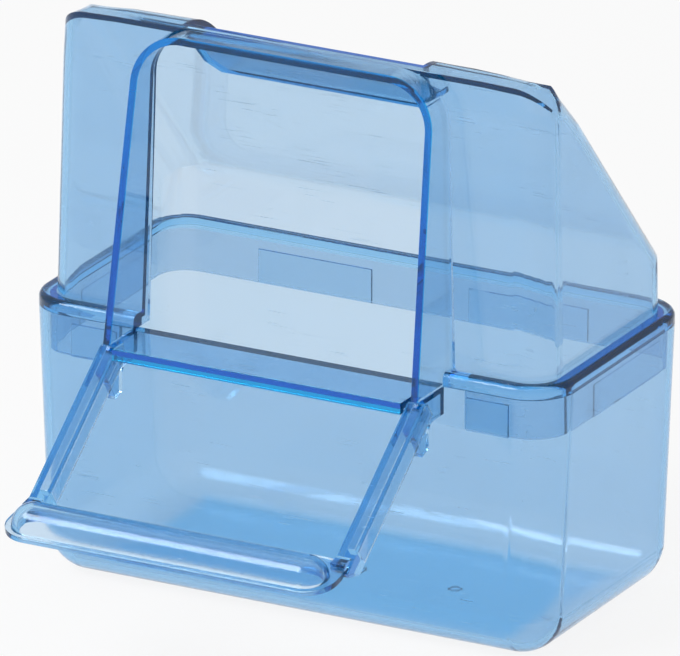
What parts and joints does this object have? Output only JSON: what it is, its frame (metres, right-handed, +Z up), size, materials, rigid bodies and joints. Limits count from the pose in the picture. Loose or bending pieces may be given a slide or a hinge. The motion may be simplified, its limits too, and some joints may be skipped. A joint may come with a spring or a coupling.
{
  "type": "hooded seed cup",
  "caption": "Clear plastic seed cup for a bird cage: tub with a sill and hook prongs, lift-off hood with an arched feeding porch, and a push-on perch bar.",
  "frame": {"origin": "Middle of the tub's flat underside, on the surface it stands on", "axes": "+X to the right when seen from the perch side, +Y from the perch side to the back, +Z up"},
  "size_m": [0.14, 0.1332, 0.1402],
  "materials": {
    "clear_blue_tub": "clear blue moulded plastic, polished, with light scuffs",
    "clear_blue_hood": "clear blue moulded plastic, polished, with light scuffs",
    "clear_blue_perch": "clear blue moulded plastic, polished, worn a little where birds stand"
  },
  "bodies": {
    "cup": {"tub": "clear_blue_tub"},
    "cover": {"hood": "clear_blue_hood"},
    "perch_bar": {"perch": "clear_blue_perch"}
  },
  "joints": [
    {"name": "hood_lift", "type": "slide", "parent": "cup", "child": "cover", "axis": [0, 0, 1], "range_m": [0, 0.02]},
    {"name": "perch_pull", "type": "slide", "parent": "cup", "child": "perch_bar", "axis": [0, -0.7944, -0.6074], "range_m": [0, 0.016]}
  ]
}
